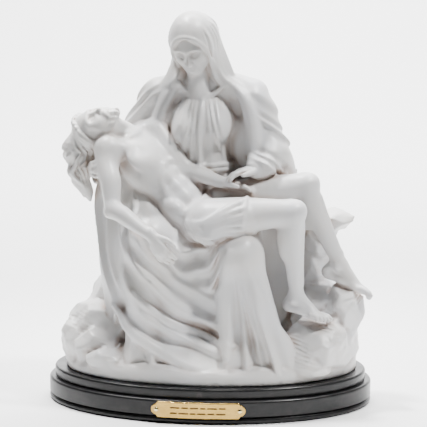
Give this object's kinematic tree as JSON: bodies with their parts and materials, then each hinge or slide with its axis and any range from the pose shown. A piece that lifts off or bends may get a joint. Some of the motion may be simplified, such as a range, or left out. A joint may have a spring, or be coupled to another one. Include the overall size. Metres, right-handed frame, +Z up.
{
  "type": "pieta statuette",
  "caption": "Pale marble-look statuette of a seated veiled woman holding a laid-out man in her lap, on an oval wooden plinth with a brass plate.",
  "frame": {"origin": "middle of the oval footprint, on the surface that the plinth stands on", "axes": "+X to the viewer's right along the long side, +Y from the front to the back, +Z up"},
  "size_m": [0.204, 0.1332, 0.2441],
  "materials": {
    "marble": "satin cast marble powder and resin",
    "black_lacquer": "satin black lacquer on turned wood",
    "plate_brass": "brushed",
    "nail_brass": "polished"
  },
  "bodies": {
    "root": {"marble_group": "marble", "oval_plinth": "black_lacquer", "name_plate": "plate_brass", "plate_nail_1": "nail_brass", "plate_nail_2": "nail_brass"}
  },
  "joints": []
}
